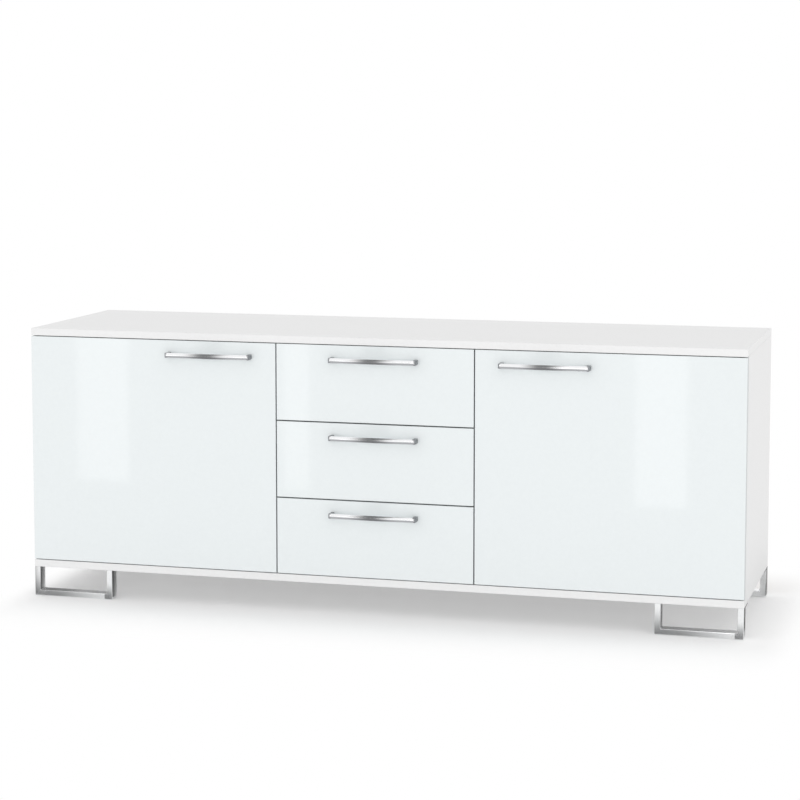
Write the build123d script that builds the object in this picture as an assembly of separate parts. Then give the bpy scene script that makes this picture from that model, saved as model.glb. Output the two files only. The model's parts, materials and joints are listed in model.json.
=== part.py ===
from build123d import *
from math import hypot
import os

os.makedirs("parts", exist_ok=True)

# A sideboard with two doors and a stack of drawers between them, in millimetres.
# +X runs to the right of someone facing the front, the front looks along -Y, +Z is up.
# The origin is on the floor, in the middle of the whole outline with the handles.

# Overall sizes
WIDTH = 1800.0
DEPTH = 500.0
BAY_HEIGHT = 574.0
DRAWER_BAY = 500.0
FOOT_HEIGHT = 75.0

# Boards
BOARD = 18.0
FRONT_BOARD = 18.0
BACK_BOARD = 3.0
BACK_REBATE = 9.0
EDGE_ROUND = 0.8
FIT = 0.05
SLACK = 0.5
OVERRUN = 1.0

# Gaps between the fronts
FRONT_END_GAP = 2.0
FRONT_SIDE_GAP = 3.0
DRAWER_GAP = 3.0
DRAWER_COUNT = 3

# Handles
HANDLE_LENGTH = 220.0
HANDLE_REACH = 27.0
HANDLE_END_REACH = 23.5
HANDLE_HEIGHT = 12.0
HANDLE_BAR = 7.0
HANDLE_LEG = 9.0
HANDLE_ROUND = 2.6
HANDLE_DROP = 35.0
HANDLE_INSET = 61.0
HANDLE_SCREW = 4.0
HANDLE_SCREW_GRIP = 11.0
HANDLE_SCREW_HEAD = 8.0
HANDLE_SCREW_HEAD_HEIGHT = 2.4

# Feet
FOOT_WIDTH = 211.0
FOOT_BAR = 15.0
FOOT_DEPTH = 30.0
FOOT_WALL = 1.5
FOOT_ROUND = 1.5
FOOT_PLATE = 3.0
FOOT_PLATE_DEPTH = 40.0
FOOT_SCREW_SPREAD = 70.0
FOOT_SCREW_ROW = 10.0

# Countersunk screws of the feet, hinge plates and drawer rails
SCREW = 5.0
SCREW_HEAD = 8.0
SCREW_HEAD_HEIGHT = 1.2
SCREW_LENGTH = 13.0

# Nails of the back panels
NAIL = 1.6
NAIL_HEAD = 4.0
NAIL_HEAD_HEIGHT = 1.0
NAIL_LENGTH = 14.0
NAIL_END_INSET = 90.0

# Dowels, cam bolts and cam discs
DOWEL = 8.0
DOWEL_LENGTH = 30.0
DOWEL_IN_PANEL = 11.0
HOLE_SPARE = 1.0
CAM = 15.0
CAM_DEPTH = 13.5
CAM_BOLT_DEPTH = 9.0
CAM_REACH = 24.0
CAM_MOUTH = 7.6
CAM_SLOT = 1.4
CAM_SLOT_LENGTH = 10.0
CAM_BOLT = 6.0
CAM_BOLT_NECK = 4.0
CAM_BOLT_HEAD = 6.6
CAM_BOLT_HEAD_HEIGHT = 3.0
CAM_BOLT_NECK_LENGTH = 4.0
CAM_BOLT_THREAD = 5.0
CAM_BOLT_IN_PANEL = 11.0
JOINT_INSET = 60.0
DOWEL_SPACING = 32.0

# Shelves and their pins
SHELF_SETBACK = 30.0
SHELF_SIDE_GAP = 1.0
SHELF_PIN = 5.0
SHELF_PIN_DEPTH = 8.0
SHELF_PIN_REACH = 9.0
SHELF_PIN_INSET = 45.0
SHELF_PADDLE = 2.0
SHELF_PADDLE_WIDTH = 8.0
SHELF_HOLE_PITCH = 32.0
SHELF_HOLE_STEPS = 2

# Cup hinges with one pin each
HINGE_INSET = 95.0
CUP = 35.0
CUP_DEPTH = 12.5
CUP_FLOOR = 1.0
CUP_EDGE = 3.0
CUP_FLANGE = 1.0
CUP_FLANGE_LENGTH = 62.0
CUP_FLANGE_WIDTH = 15.0
CUP_PEG = 8.0
CUP_PEG_DEPTH = 10.0
CUP_PEG_SPACING = 45.0
CUP_PEG_SETBACK = 9.5
HINGE_PIN = 2.5
HINGE_PIN_LENGTH = 18.0
PIN_INSET = 7.5
PIN_SINK = 8.4
KNUCKLE = 5.2
KNUCKLE_LENGTH = 8.0
KNUCKLE_GAP = 0.3
SWING_CLEARANCE = 0.65
NECK_REACH = 8.4
NECK_TURN = 12.2
NECK_RISE = 3.0
ARM_THICKNESS = 2.0
ARM_WIDTH = 14.0
ARM_START = 8.0
ARM_LENGTH = 50.0
PLATE_THICKNESS = 3.5
PLATE_WING = 14.0
PLATE_WING_LENGTH = 46.0
PLATE_SCREW_SETBACK = 37.0
PLATE_SCREW_SPACING = 32.0
ARM_SCREW_SETBACK = 51.0

# Soft stops behind the doors
BUMPER = 6.0
BUMPER_GAP = 0.2
BUMPER_INSET = 20.0

# Drawer boxes
BOX_DEPTH = 450.0
BOX_HEIGHT = 130.0
BOX_LIFT = 22.0
BOX_BOARD = 12.0
BOX_BOTTOM = 3.0
BOX_GROOVE = 5.0
BOX_BOTTOM_LIFT = 10.0

# Ball slides of the drawers
SLIDE_GAP = 12.7
SLIDE_LIFT = 45.0
SLIDE_SETBACK = 3.0
SLIDE_STEEL = 1.2
RAIL_SCREW_INSET = 36.0
RAIL_HEIGHT = 35.0
RAIL_DEPTH = 9.0
RUNNER_HEIGHT = 22.0
RUNNER_DEPTH = 9.2
SLIDE_TRAVEL = 330.0
BALL = 4.7
BALL_PITCH = 25.0
BALLS_IN_ROW = 4
CAGE_STEEL = 0.8
CAGE_GAP = 0.8
CAGE_HOLE = 5.2
CAGE_SPARE = 4.0

# Places that follow from the sizes
FRONT_Y = (HANDLE_REACH - DEPTH) / 2
BACK_Y = FRONT_Y + DEPTH
FRONT_BACK_Y = FRONT_Y + FRONT_BOARD
DOOR_STANDOFF = hypot(PIN_INSET, PIN_SINK) - PIN_SINK + SWING_CLEARANCE
EDGE_Y = FRONT_BACK_Y + DOOR_STANDOFF
INNER_BACK_Y = BACK_Y - BACK_BOARD
HALF_WIDTH = WIDTH / 2
INNER_X = HALF_WIDTH - BOARD
PARTITION_X = DRAWER_BAY / 2
BAY_Z = FOOT_HEIGHT + BOARD
ROOF_Z = BAY_Z + BAY_HEIGHT
TOP_Z = ROOF_Z + BOARD
DOOR_BOTTOM_Z = BAY_Z + FRONT_END_GAP
DOOR_TOP_Z = ROOF_Z - FRONT_END_GAP
DOOR_EDGE_X = PARTITION_X + FRONT_SIDE_GAP / 2
DRAWER_GAPS = 2 * FRONT_END_GAP + (DRAWER_COUNT - 1) * DRAWER_GAP
DRAWER_FRONT_HEIGHT = (BAY_HEIGHT - DRAWER_GAPS) / DRAWER_COUNT
SHELF_Z = BAY_Z + (BAY_HEIGHT - BOARD) / 2
HINGE_HEIGHTS = (DOOR_BOTTOM_Z + HINGE_INSET, DOOR_TOP_Z - HINGE_INSET)
PIN_X = -HALF_WIDTH + PIN_INSET
PIN_Y = FRONT_BACK_Y - PIN_SINK
BOX_HALF = PARTITION_X - BOARD / 2 - SLIDE_GAP
BOX_BACK_Y = FRONT_BACK_Y + BOX_DEPTH
RAIL_Y = EDGE_Y + SLIDE_SETBACK
RUNNER_Y = FRONT_BACK_Y + SLIDE_SETBACK
CAGE_LENGTH = BOX_BACK_Y - RUNNER_Y - SLIDE_TRAVEL - (RAIL_Y - RUNNER_Y) - 2 * CAGE_SPARE
CAGE_Y = RAIL_Y + SLIDE_TRAVEL / 2 + CAGE_SPARE


# A round bar is placed by the middle of its first end
FROM_END = (Align.CENTER, Align.CENTER, Align.MIN)


def block(x, y, z):
    """A box between two limits along each axis, given in either order."""
    spans = [sorted(limits) for limits in (x, y, z)]
    sizes = [high - low for low, high in spans]
    middles = [(high + low) / 2 for low, high in spans]
    return Pos(*middles) * Box(*sizes)


def rod(diameter, start, end):
    """A round bar from one point to another."""
    run = Vector(*end) - Vector(*start)
    bar = Cylinder(diameter / 2, run.length, align=FROM_END)
    return Plane(origin=start, z_dir=run) * bar


def taper(start_diameter, end_diameter, start, end):
    """A round bar that tapers from one point to another."""
    run = Vector(*end) - Vector(*start)
    bar = Cone(start_diameter / 2, end_diameter / 2, run.length, align=FROM_END)
    return Plane(origin=start, z_dir=run) * bar


def shifted(point, direction, distance):
    """The point that lies some way along a direction."""
    return tuple(p + d * distance for p, d in zip(point, direction))


def mirrored(solids):
    """The same pieces on the other side of the middle of the sideboard."""
    return [mirror(solid, about=Plane.YZ) for solid in solids]


def save(name, solids):
    """Write the solids of one node."""
    pieces = [piece for solid in solids for piece in solid.solids()]
    shape = pieces[0] if len(pieces) == 1 else Compound(children=pieces)
    export_step(shape, f"parts/{name}.step")


def countersunk_screw(seat, direction, spare=0.0):
    """A screw with a flush tapered head; spare widens it into the hole that it sits in."""
    neck = shifted(seat, direction, SCREW_HEAD_HEIGHT)
    tip = shifted(seat, direction, SCREW_LENGTH + spare)
    head = taper(SCREW_HEAD + 2 * spare, SCREW + 2 * spare, seat, neck)
    return head + rod(SCREW + 2 * spare, neck, tip)


# Joints between the upright boards and the top and bottom panels.
# An upright is its middle in X, and the side, -1 or 1, on which its cam discs show.
UPRIGHTS = {
    "left_side_panel": (-HALF_WIDTH + BOARD / 2, 1),
    "left_partition": (-PARTITION_X, -1),
    "right_partition": (PARTITION_X, 1),
    "right_side_panel": (HALF_WIDTH - BOARD / 2, -1),
}
# An end of an upright is its height and the direction, -1 or 1, out of the upright.
ENDS = ((BAY_Z, -1), (ROOF_Z, 1))
CAM_ROWS = (EDGE_Y + JOINT_INSET, INNER_BACK_Y - JOINT_INSET)
DOWEL_ROWS = (CAM_ROWS[0] + DOWEL_SPACING, CAM_ROWS[1] - DOWEL_SPACING)


def dowel(x, y, end, spare=0.0, depth_spare=0.0):
    z, out = end
    top = z + out * (DOWEL_IN_PANEL + depth_spare)
    bottom = z - out * (DOWEL_LENGTH - DOWEL_IN_PANEL + depth_spare)
    return rod(DOWEL + 2 * spare, (x, y, bottom), (x, y, top))


def cam_place(upright, y, end):
    """The middle of a cam disc's open face, and the depth of its bolt in X."""
    middle, side = UPRIGHTS[upright]
    z, out = end
    face = middle + side * BOARD / 2
    return (face, y, z - out * CAM_REACH), face - side * CAM_BOLT_DEPTH, side, out


def cam_disc(upright, y, end):
    (x, y, z), bolt_x, side, out = cam_place(upright, y, end)
    disc = rod(CAM - 2 * FIT, (x, y, z), (x - side * CAM_DEPTH, y, z))
    mouth = rod(CAM_MOUTH, (bolt_x, y, z - out * CAM_BOLT_HEAD_HEIGHT), (bolt_x, y, z + out * CAM))
    slot = Pos(x, y, z) * Box(2 * CAM_SLOT, CAM_SLOT_LENGTH, CAM_SLOT)
    return disc - mouth - slot


def cam_bolt(upright, y, end):
    (_, y, z), x, _, out = cam_place(upright, y, end)
    face = end[0]
    head_start = z + out * CAM_BOLT_HEAD_HEIGHT / 2
    neck_start = head_start + out * CAM_BOLT_NECK_LENGTH
    thread = rod(CAM_BOLT_THREAD, (x, y, face), (x, y, face + out * CAM_BOLT_IN_PANEL))
    shank = rod(CAM_BOLT, (x, y, neck_start), (x, y, face))
    neck = rod(CAM_BOLT_NECK, (x, y, head_start), (x, y, neck_start))
    head = rod(CAM_BOLT_HEAD, (x, y, head_start - out * CAM_BOLT_HEAD_HEIGHT), (x, y, head_start))
    return thread + shank + neck + head


def joint_holes_in_upright(upright):
    x, _ = UPRIGHTS[upright]
    cuts = [dowel(x, y, end, FIT, HOLE_SPARE) for end in ENDS for y in DOWEL_ROWS]
    for end in ENDS:
        for row in CAM_ROWS:
            (face, y, z), bolt_x, side, out = cam_place(upright, row, end)
            cuts.append(rod(CAM, (face, y, z), (face - side * (CAM_DEPTH + FIT), y, z)))
            cuts.append(rod(CAM_MOUTH, (bolt_x, y, z), (bolt_x, y, end[0] + out * OVERRUN)))
    return cuts


def joint_holes_in_panel(end):
    z, out = end
    cuts = []
    for upright, (x, _) in UPRIGHTS.items():
        cuts += [dowel(x, y, end, FIT, HOLE_SPARE) for y in DOWEL_ROWS]
        for row in CAM_ROWS:
            bolt_x = cam_place(upright, row, end)[1]
            tip = z + out * (CAM_BOLT_IN_PANEL + HOLE_SPARE)
            cuts.append(rod(CAM_BOLT_THREAD + 2 * FIT, (bolt_x, row, z), (bolt_x, row, tip)))
    return cuts


# Feet: a U of flat tube with a plate welded behind it, screwed up into the bottom panel.
def foot_loop(x, y, inset):
    """The U of a foot's tube, drawn in from its outside by an inset and open at the top."""
    low, high = x[0] + inset, x[1] - inset
    bar = FOOT_BAR - 2 * inset
    depth = (y[0] + inset, y[1] - inset)
    left_post = block((low, low + bar), depth, (inset, FOOT_HEIGHT))
    right_post = block((high - bar, high), depth, (inset, FOOT_HEIGHT))
    return left_post + right_post + block((low, high), depth, (inset, inset + bar))


def foot(front, left):
    """One foot; the rear feet have their plate in front of the tube."""
    x = (-HALF_WIDTH, -HALF_WIDTH + FOOT_WIDTH)
    y = (FRONT_Y, FRONT_Y + FOOT_DEPTH) if front else (BACK_Y - FOOT_DEPTH, BACK_Y)
    tube = foot_loop(x, y, 0)
    low_edges = tube.edges().filter_by(lambda edge: edge.center().Z < FOOT_HEIGHT - FIT)
    tube = fillet(low_edges, FOOT_ROUND)
    plate_y = foot_plate_span(front)
    weld = FOOT_ROUND + FIT
    plate_y = (plate_y[0] - weld, plate_y[1]) if front else (plate_y[0], plate_y[1] + weld)
    piece = tube + block(x, plate_y, (FOOT_HEIGHT - FOOT_PLATE, FOOT_HEIGHT)) - foot_loop(x, y, FOOT_WALL)
    for seat in foot_screw_seats(front):
        piece -= countersunk_screw(seat, (0, 0, 1), FIT)
    return piece if left else mirror(piece, about=Plane.YZ)


def foot_plate_span(front):
    if front:
        return FRONT_Y + FOOT_DEPTH, FRONT_Y + FOOT_DEPTH + FOOT_PLATE_DEPTH
    return BACK_Y - FOOT_DEPTH - FOOT_PLATE_DEPTH, BACK_Y - FOOT_DEPTH


def foot_screw_seats(front):
    """Seats of a left foot's screws, on the underside of its plate."""
    middle_x = -HALF_WIDTH + FOOT_WIDTH / 2
    middle_y = sum(foot_plate_span(front)) / 2
    return [
        (middle_x + dx, middle_y + dy, FOOT_HEIGHT - FOOT_PLATE)
        for dx in (-FOOT_SCREW_SPREAD, FOOT_SCREW_SPREAD)
        for dy in (-FOOT_SCREW_ROW, FOOT_SCREW_ROW)
    ]


def foot_screws(spare=0.0):
    seats = foot_screw_seats(True) + foot_screw_seats(False)
    left = [countersunk_screw(seat, (0, 0, 1), spare) for seat in seats]
    return left + mirrored(left)


# Back panels, each nailed round its edge. A span is a panel's place between its two limits in X.
LEFT_SPAN = (-INNER_X - BACK_REBATE, -PARTITION_X)
MIDDLE_SPAN = (-PARTITION_X, PARTITION_X)
BACK_Z = (BAY_Z - BACK_REBATE, ROOF_Z + BACK_REBATE)


def nail_rows(low, high):
    """Three places along an edge: near each end and in the middle."""
    return low + NAIL_END_INSET, (low + high) / 2, high - NAIL_END_INSET


def nail(x, z, spare):
    head_y = BACK_Y - NAIL_HEAD_HEIGHT
    head = rod(NAIL_HEAD + 2 * spare, (x, BACK_Y, z), (x, head_y, z))
    return head + rod(NAIL + 2 * spare, (x, head_y, z), (x, BACK_Y - NAIL_LENGTH - spare, z))


def span_nails(span, spare=0.0):
    inset = BACK_REBATE / 2
    places = [(x, z) for x in (span[0] + inset, span[1] - inset) for z in nail_rows(*BACK_Z)]
    places += [(x, z) for x in nail_rows(*span) for z in (BACK_Z[0] + inset, BACK_Z[1] - inset)]
    return [nail(x, z, spare) for x, z in places]


def back_nails(spare=0.0):
    left = span_nails(LEFT_SPAN, spare)
    return left + mirrored(left) + span_nails(MIDDLE_SPAN, spare)


def back_panel(span):
    x = (span[0] + SLACK, span[1] - SLACK)
    z = (BACK_Z[0] + SLACK, BACK_Z[1] - SLACK)
    return block(x, (INNER_BACK_Y, BACK_Y), z) - span_nails(span, FIT)


# Carcass boards, rebated behind for the back panels
REBATE_Y = (INNER_BACK_Y, BACK_Y + OVERRUN)
PARTITION_FACES = (-PARTITION_X - BOARD / 2, -PARTITION_X + BOARD / 2)


def top_panel():
    panel = block((-HALF_WIDTH, HALF_WIDTH), (FRONT_Y, BACK_Y), (ROOF_Z, TOP_Z))
    panel = fillet(panel.edges(), EDGE_ROUND)
    reach = INNER_X + BACK_REBATE
    panel -= block((-reach, reach), REBATE_Y, (ROOF_Z - OVERRUN, ROOF_Z + BACK_REBATE))
    return panel - joint_holes_in_panel(ENDS[1]) - back_nails(FIT)


def bottom_panel():
    panel = block((-HALF_WIDTH, HALF_WIDTH), (FRONT_Y, BACK_Y), (FOOT_HEIGHT, BAY_Z))
    panel = fillet(panel.edges(), EDGE_ROUND)
    reach = INNER_X + BACK_REBATE
    panel -= block((-reach, reach), REBATE_Y, (BAY_Z - BACK_REBATE, BAY_Z + OVERRUN))
    return panel - joint_holes_in_panel(ENDS[0]) - foot_screws(FIT) - back_nails(FIT)


def left_side_panel():
    panel = block((-HALF_WIDTH, -INNER_X), (EDGE_Y, BACK_Y), (BAY_Z, ROOF_Z))
    rebate_x = (-INNER_X - BACK_REBATE, -INNER_X + OVERRUN)
    panel -= block(rebate_x, REBATE_Y, (BAY_Z - OVERRUN, ROOF_Z + OVERRUN))
    panel -= joint_holes_in_upright("left_side_panel")
    panel -= shelf_holes(-INNER_X, -1)
    panel -= span_nails(LEFT_SPAN, FIT)
    return panel - [screw for z in HINGE_HEIGHTS for screw in hinge_screws(z, FIT)]


def left_partition():
    panel = block(PARTITION_FACES, (EDGE_Y, INNER_BACK_Y), (BAY_Z, ROOF_Z))
    panel -= joint_holes_in_upright("left_partition")
    panel -= shelf_holes(PARTITION_FACES[0], 1)
    panel -= span_nails(LEFT_SPAN, FIT) + span_nails(MIDDLE_SPAN, FIT)
    return panel - [screw for drawer in range(DRAWER_COUNT) for screw in rail_screws(drawer, FIT)]


# Shelves
SHELF_SPAN = (-INNER_X + SHELF_SIDE_GAP, PARTITION_FACES[0] - SHELF_SIDE_GAP)
SHELF_DEPTH = (EDGE_Y + SHELF_SETBACK, INNER_BACK_Y - SLACK)
PIN_ROWS = (SHELF_DEPTH[0] + SHELF_PIN_INSET, SHELF_DEPTH[1] - SHELF_PIN_INSET)
SHELF_PIN_Z = SHELF_Z - SHELF_PADDLE - SHELF_PIN / 2 + SLACK


def shelf_pin(face, into, y):
    """A pin in a board's face with a flat paddle that the shelf rests on."""
    tip = face - into * SHELF_PIN_REACH
    peg = rod(SHELF_PIN, (face + into * SHELF_PIN_DEPTH, y, SHELF_PIN_Z), (tip, y, SHELF_PIN_Z))
    paddle_y = (y - SHELF_PADDLE_WIDTH / 2, y + SHELF_PADDLE_WIDTH / 2)
    return peg + block((face, tip), paddle_y, (SHELF_Z - SHELF_PADDLE, SHELF_Z))


def shelf_holes(face, into):
    """Rows of holes that let the shelf be set higher or lower."""
    steps = range(-SHELF_HOLE_STEPS, SHELF_HOLE_STEPS + 1)
    heights = [SHELF_PIN_Z + step * SHELF_HOLE_PITCH for step in steps]
    mouth = face - into * OVERRUN
    floor = face + into * (SHELF_PIN_DEPTH + HOLE_SPARE)
    return [rod(SHELF_PIN + 2 * FIT, (mouth, y, z), (floor, y, z)) for y in PIN_ROWS for z in heights]


def left_shelf():
    return block(SHELF_SPAN, SHELF_DEPTH, (SHELF_Z, SHELF_Z + BOARD))


def left_shelf_pins():
    faces = ((-INNER_X, -1), (PARTITION_FACES[0], 1))
    return [shelf_pin(face, into, y) for face, into in faces for y in PIN_ROWS]


# Cup hinges of the left door. The arm's neck bends round the board's edge as the door turns on the pin.
CUP_X = -HALF_WIDTH + CUP_EDGE + CUP / 2
PEG_X = CUP_X + CUP_PEG_SETBACK
PLATE_X = (-INNER_X, -INNER_X + PLATE_THICKNESS)
ARM_X = (PLATE_X[1], PLATE_X[1] + ARM_THICKNESS)
ARM_Y = (EDGE_Y + ARM_START, EDGE_Y + ARM_START + ARM_LENGTH)


def peg_heights(z):
    return z - CUP_PEG_SPACING / 2, z + CUP_PEG_SPACING / 2


def hinge_cup(z):
    floor = FRONT_BACK_Y - CUP_DEPTH
    cup = rod(CUP, (CUP_X, floor, z), (CUP_X, FRONT_BACK_Y, z))
    flange_x = (PEG_X - CUP_FLANGE_WIDTH / 2, PEG_X + CUP_FLANGE_WIDTH / 2)
    flange_y = (FRONT_BACK_Y, FRONT_BACK_Y + CUP_FLANGE)
    cup += block(flange_x, flange_y, (z - CUP_FLANGE_LENGTH / 2, z + CUP_FLANGE_LENGTH / 2))
    for height in peg_heights(z):
        cup += rod(CUP_PEG, (PEG_X, FRONT_BACK_Y - CUP_PEG_DEPTH, height), (PEG_X, FRONT_BACK_Y, height))
    pocket_x = (PIN_X - KNUCKLE / 2 - KNUCKLE_GAP, CUP_X + CUP / 2 - 2 * CUP_FLOOR)
    pocket_half = KNUCKLE_LENGTH / 2 + KNUCKLE_GAP
    cup -= block(pocket_x, (floor + CUP_FLOOR, flange_y[1] + OVERRUN), (z - pocket_half, z + pocket_half))
    return cup - hinge_pin(z, FIT / 2)


def hinge_pin(z, spare=0.0):
    half = HINGE_PIN_LENGTH / 2 + spare
    return rod(HINGE_PIN + 2 * spare, (PIN_X, PIN_Y, z - half), (PIN_X, PIN_Y, z + half))


def hinge_arm(z):
    """A flat arm on the mounting plate, whose neck runs into the cup and ends in a ring on the pin."""
    base_x = sum(ARM_X) / 2
    neck = Polyline(
        (PIN_X, PIN_Y),
        (PIN_X + NECK_REACH, PIN_Y),
        (PIN_X + NECK_TURN, PIN_Y + NECK_RISE),
        (base_x, ARM_Y[0]),
        (base_x, ARM_Y[1]),
    )
    band = extrude(trace(neck, ARM_THICKNESS), KNUCKLE_LENGTH / 2, both=True)
    band += rod(KNUCKLE, (PIN_X, PIN_Y, -KNUCKLE_LENGTH / 2), (PIN_X, PIN_Y, KNUCKLE_LENGTH / 2))
    band += block(ARM_X, ARM_Y, (-ARM_WIDTH / 2, ARM_WIDTH / 2))
    return Pos(0, 0, z) * band - hinge_pin(z, FIT) - hinge_screws(z, FIT)


def hinge_screws(z, spare=0.0):
    """Two screws through the plate's wings, and one through the arm and the plate."""
    wing_y = EDGE_Y + PLATE_SCREW_SETBACK
    seats = [(PLATE_X[1], wing_y, z + side * PLATE_SCREW_SPACING / 2) for side in (-1, 1)]
    seats.append((ARM_X[1], EDGE_Y + ARM_SCREW_SETBACK, z))
    return [countersunk_screw(seat, (-1, 0, 0), spare) for seat in seats]


def hinge_plate(z):
    wing_y = EDGE_Y + PLATE_SCREW_SETBACK
    plate_y = (ARM_Y[0] + ARM_THICKNESS, ARM_Y[1])
    plate = block(PLATE_X, plate_y, (z - ARM_WIDTH / 2, z + ARM_WIDTH / 2))
    wing_z = (z - PLATE_WING_LENGTH / 2, z + PLATE_WING_LENGTH / 2)
    plate += block(PLATE_X, (wing_y - PLATE_WING / 2, wing_y + PLATE_WING / 2), wing_z)
    return plate - hinge_screws(z, FIT)


# Fronts and handles
def front_board(x, z):
    board = block(x, (FRONT_Y, FRONT_BACK_Y), z)
    return fillet(board.edges(), EDGE_ROUND)


def handle_screw_places(x):
    offset = (HANDLE_LENGTH - HANDLE_LEG) / 2
    return x - offset, x + offset


def handle(x, z):
    """A bow handle: one bar bent in a shallow curve between two legs at its ends."""
    end = HANDLE_LENGTH / 2
    inner = end - HANDLE_LEG
    outside = ThreePointArc((-end, -HANDLE_END_REACH), (0, -HANDLE_REACH), (end, -HANDLE_END_REACH))
    bar_end = HANDLE_END_REACH - HANDLE_BAR
    inside = ThreePointArc((inner, -bar_end), (0, HANDLE_BAR - HANDLE_REACH), (-inner, -bar_end))
    right_leg = Polyline((end, -HANDLE_END_REACH), (end, 0), (inner, 0), (inner, -bar_end))
    left_leg = Polyline((-inner, -bar_end), (-inner, 0), (-end, 0), (-end, -HANDLE_END_REACH))
    plan = make_face(outside.edges() + right_leg.edges() + inside.edges() + left_leg.edges())
    bow = extrude(plan, HANDLE_HEIGHT / 2, both=True)
    bow = fillet(bow.edges().filter_by(Axis.Z).group_by(Axis.Y)[0], HANDLE_ROUND)
    bow = fillet(bow.faces().sort_by(Axis.Z)[-1].edges().filter_by(is_outside_edge), HANDLE_ROUND)
    bow = fillet(bow.faces().sort_by(Axis.Z)[0].edges().filter_by(is_outside_edge), HANDLE_ROUND)
    bow = Pos(x, FRONT_Y, z) * bow
    for place in handle_screw_places(x):
        hole_end = (place, FRONT_Y - HANDLE_SCREW_GRIP - HOLE_SPARE, z)
        bow -= rod(HANDLE_SCREW + 2 * FIT, (place, FRONT_Y, z), hole_end)
    return bow


def is_outside_edge(edge):
    """True for the edges round the front and the ends of a handle, away from its foot."""
    return edge.center().Y < HANDLE_BAR - HANDLE_REACH or abs(edge.center().X) > HANDLE_LENGTH / 2 - FIT


def handle_screws(x, z):
    """Screws from behind a front, with their heads on its back face."""
    screws = []
    for place in handle_screw_places(x):
        shank = rod(HANDLE_SCREW, (place, FRONT_Y - HANDLE_SCREW_GRIP, z), (place, FRONT_BACK_Y, z))
        head_end = (place, FRONT_BACK_Y + HANDLE_SCREW_HEAD_HEIGHT, z)
        screws.append(shank + rod(HANDLE_SCREW_HEAD, (place, FRONT_BACK_Y, z), head_end))
    return screws


def handle_screw_holes(x, z):
    y = (FRONT_Y - OVERRUN, FRONT_BACK_Y + OVERRUN)
    places = handle_screw_places(x)
    return [rod(HANDLE_SCREW + SLACK, (place, y[0], z), (place, y[1], z)) for place in places]


# Doors
DOOR_HANDLE_X = -DOOR_EDGE_X - HANDLE_INSET - HANDLE_LENGTH / 2
DOOR_HANDLE_Z = DOOR_TOP_Z - HANDLE_DROP


def left_door_panel():
    door = front_board((-HALF_WIDTH, -DOOR_EDGE_X), (DOOR_BOTTOM_Z, DOOR_TOP_Z))
    for z in HINGE_HEIGHTS:
        floor = FRONT_BACK_Y - CUP_DEPTH - FIT
        door -= rod(CUP + 2 * FIT, (CUP_X, floor, z), (CUP_X, FRONT_BACK_Y + OVERRUN, z))
        for height in peg_heights(z):
            floor = FRONT_BACK_Y - CUP_PEG_DEPTH - FIT
            mouth = (PEG_X, FRONT_BACK_Y + OVERRUN, height)
            door -= rod(CUP_PEG + 2 * FIT, (PEG_X, floor, height), mouth)
    return door - handle_screw_holes(DOOR_HANDLE_X, DOOR_HANDLE_Z)


def left_door_bumpers():
    """Soft pads that meet the front edge of the partition when the door is shut."""
    x = -(PARTITION_X + BOARD / 2 + DOOR_EDGE_X) / 2
    reach = DOOR_STANDOFF - BUMPER_GAP
    heights = (DOOR_BOTTOM_Z + BUMPER_INSET, DOOR_TOP_Z - BUMPER_INSET)
    return [rod(BUMPER, (x, FRONT_BACK_Y, z), (x, FRONT_BACK_Y + reach, z)) for z in heights]


# Drawers, counted from the top
def drawer_bottom_z(drawer):
    places_up = DRAWER_COUNT - 1 - drawer
    return DOOR_BOTTOM_Z + places_up * (DRAWER_FRONT_HEIGHT + DRAWER_GAP)


def box_z(drawer):
    low = drawer_bottom_z(drawer) + BOX_LIFT
    return low, low + BOX_HEIGHT


def slide_z(drawer):
    return box_z(drawer)[0] + SLIDE_LIFT


def bottom_board(drawer, groove=False):
    """The thin board in the grooves of the front, sides and back, or those grooves themselves."""
    end_gap = 0.0 if groove else SLACK
    face_gap = FIT if groove else 0.0
    low = box_z(drawer)[0] + BOX_BOTTOM_LIFT
    reach = BOX_HALF - BOX_BOARD + BOX_GROOVE - end_gap
    y = (FRONT_BACK_Y - BOX_GROOVE + end_gap, BOX_BACK_Y - BOX_BOARD + BOX_GROOVE - end_gap)
    return block((-reach, reach), y, (low - face_gap, low + BOX_BOTTOM + face_gap))


def drawer_front(drawer):
    low = drawer_bottom_z(drawer)
    half = PARTITION_X - FRONT_SIDE_GAP / 2
    front = front_board((-half, half), (low, low + DRAWER_FRONT_HEIGHT))
    return front - handle_screw_holes(0, drawer_handle_z(drawer)) - bottom_board(drawer, groove=True)


def drawer_handle_z(drawer):
    return drawer_bottom_z(drawer) + DRAWER_FRONT_HEIGHT - HANDLE_DROP


def drawer_sides(drawer):
    left = block((-BOX_HALF, -BOX_HALF + BOX_BOARD), (FRONT_BACK_Y, BOX_BACK_Y), box_z(drawer))
    left -= bottom_board(drawer, groove=True)
    return [left] + mirrored([left])


def drawer_back(drawer):
    reach = BOX_HALF - BOX_BOARD
    back = block((-reach, reach), (BOX_BACK_Y - BOX_BOARD, BOX_BACK_Y), box_z(drawer))
    return back - bottom_board(drawer, groove=True)


# Ball slides, made on the left of a drawer: channel rails on the partition, runners on the drawer side
RAIL_FACE_X = PARTITION_FACES[1]
BALL_X = RAIL_FACE_X + (SLIDE_GAP - RAIL_DEPTH + RUNNER_DEPTH) / 2
BALL_OFFSET = (RAIL_HEIGHT / 2 - SLIDE_STEEL + RUNNER_HEIGHT / 2) / 2
CAGE_X = (RAIL_FACE_X + SLIDE_STEEL + CAGE_GAP, RAIL_FACE_X + SLIDE_STEEL + CAGE_GAP + CAGE_STEEL)


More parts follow.
